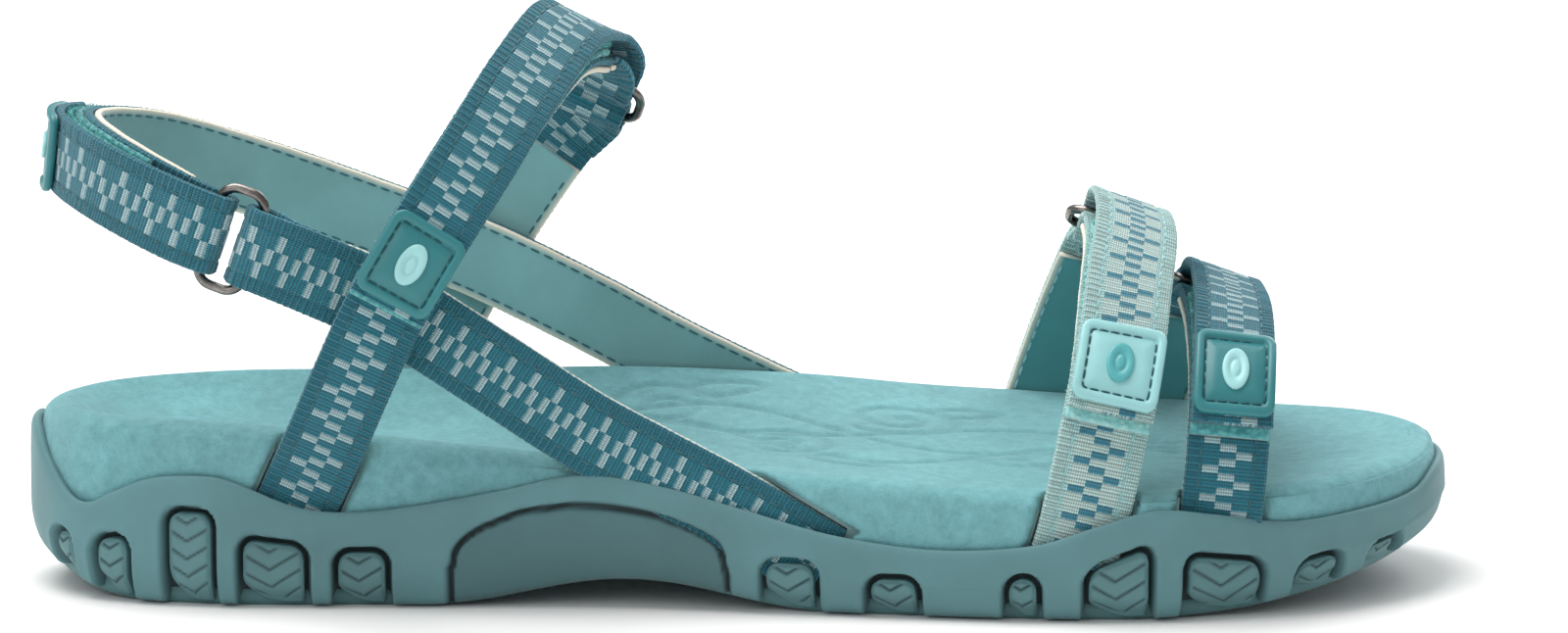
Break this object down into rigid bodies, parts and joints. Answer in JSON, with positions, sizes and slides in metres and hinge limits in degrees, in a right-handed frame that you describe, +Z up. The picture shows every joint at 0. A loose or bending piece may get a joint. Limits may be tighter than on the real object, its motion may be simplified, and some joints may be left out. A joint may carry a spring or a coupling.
{
  "type": "strappy sport sandal",
  "caption": "Right-foot sport sandal with woven webbing straps, oval rings and hook-and-loop pull tabs on a contoured suede footbed and a grooved rubber sole.",
  "frame": {"origin": "on the ground, under the middle of the sole's length and width", "axes": "+X to the toe, -Y to the outer side of the foot, +Z up"},
  "size_m": [0.265, 0.0943, 0.1086],
  "materials": {
    "outsole_rubber": "matt moulded rubber with fine chevron grooves",
    "midsole_rubber": "smooth satin moulded foam rubber",
    "shank_plastic": "moulded nylon",
    "footbed_foam": "closed-cell foam",
    "suede": "brushed microfibre suede with faint pressed swirls",
    "teal_webbing": "woven jacquard webbing with pale blocks",
    "aqua_webbing": "woven jacquard webbing with blue-teal blocks",
    "lining": "soft microfibre with a stitched edge",
    "ring_metal": "dark gunmetal plating",
    "hook_tape": "moulded hook tape",
    "loop_tape": "looped pile tape",
    "badge_teal": "satin moulded rubber",
    "badge_aqua": "satin moulded rubber",
    "emblem_aqua": "satin moulded rubber",
    "emblem_teal": "satin moulded rubber"
  },
  "bodies": {
    "sandal": {"outsole": "outsole_rubber", "midsole": "midsole_rubber", "shank_plate": "shank_plastic", "footbed_foam": "footbed_foam", "footbed_cover": "suede", "lateral_ankle_strap": "teal_webbing", "lateral_ankle_lining": "lining", "medial_ankle_strap": "teal_webbing", "medial_ankle_lining": "lining", "medial_heel_strap": "teal_webbing", "medial_heel_lining": "lining", "lateral_heel_strap": "teal_webbing", "lateral_heel_lining": "lining", "lateral_forefoot_strap": "aqua_webbing", "lateral_forefoot_lining": "lining", "medial_forefoot_strap": "aqua_webbing", "medial_forefoot_lining": "lining", "lateral_toe_strap": "teal_webbing", "lateral_toe_lining": "lining", "medial_toe_strap": "teal_webbing", "medial_toe_lining": "lining", "ankle_loop_patch": "loop_tape", "heel_loop_patch": "loop_tape", "forefoot_loop_patch": "loop_tape", "toe_loop_patch": "loop_tape"},
    "ankle_tab_body": {"ankle_pull_tab": "teal_webbing", "ankle_hook_patch": "hook_tape", "ankle_badge": "badge_teal", "ankle_emblem": "emblem_aqua"},
    "ankle_ring_body": {"ankle_ring": "ring_metal"},
    "heel_tab_body": {"heel_pull_tab": "teal_webbing", "heel_hook_patch": "hook_tape", "heel_badge": "badge_teal", "heel_emblem": "emblem_aqua"},
    "heel_ring_body": {"heel_ring": "ring_metal"},
    "forefoot_tab_body": {"forefoot_pull_tab": "aqua_webbing", "forefoot_hook_patch": "hook_tape", "forefoot_badge": "badge_aqua", "forefoot_emblem": "emblem_teal"},
    "forefoot_ring_body": {"forefoot_ring": "ring_metal"},
    "toe_tab_body": {"toe_pull_tab": "teal_webbing", "toe_hook_patch": "hook_tape", "toe_badge": "badge_teal", "toe_emblem": "emblem_aqua"},
    "toe_ring_body": {"toe_ring": "ring_metal"}
  },
  "joints": [
    {"name": "ankle_tab_peel", "type": "hinge", "parent": "sandal", "child": "ankle_tab_body", "pos_m": [-0.02654, 0.01646, 0.09246], "axis": [-0.9021, 0.1194, 0.4147], "range_deg": [0, 130]},
    {"name": "ankle_ring_swing", "type": "hinge", "parent": "sandal", "child": "ankle_ring_body", "pos_m": [-0.02846, 0.02254, 0.08654], "axis": [0.9021, -0.1194, -0.4147], "range_deg": [-4, 4]},
    {"name": "heel_tab_peel", "type": "hinge", "parent": "sandal", "child": "heel_tab_body", "pos_m": [-0.09625, -0.0293, 0.06944], "axis": [0.3253, -0.0561, 0.9439], "range_deg": [0, 130]},
    {"name": "heel_ring_swing", "type": "hinge", "parent": "sandal", "child": "heel_ring_body", "pos_m": [-0.08815, -0.0307, 0.06656], "axis": [-0.3253, 0.0561, -0.9439], "range_deg": [-4, 4]},
    {"name": "forefoot_tab_peel", "type": "hinge", "parent": "sandal", "child": "forefoot_tab_body", "pos_m": [0.07186, 0.01058, 0.06527], "axis": [-0.9536, 0.0757, 0.2914], "range_deg": [0, 130]},
    {"name": "forefoot_ring_swing", "type": "hinge", "parent": "sandal", "child": "forefoot_ring_body", "pos_m": [0.07134, 0.01842, 0.06153], "axis": [0.9536, -0.0757, -0.2914], "range_deg": [-4, 4]},
    {"name": "toe_tab_peel", "type": "hinge", "parent": "sandal", "child": "toe_tab_body", "pos_m": [0.08942, 0.00986, 0.05271], "axis": [-0.9539, 0.0435, 0.2969], "range_deg": [0, 130]},
    {"name": "toe_ring_swing", "type": "hinge", "parent": "sandal", "child": "toe_ring_body", "pos_m": [0.08898, 0.01814, 0.05009], "axis": [0.9539, -0.0435, -0.2969], "range_deg": [-4, 4]}
  ]
}
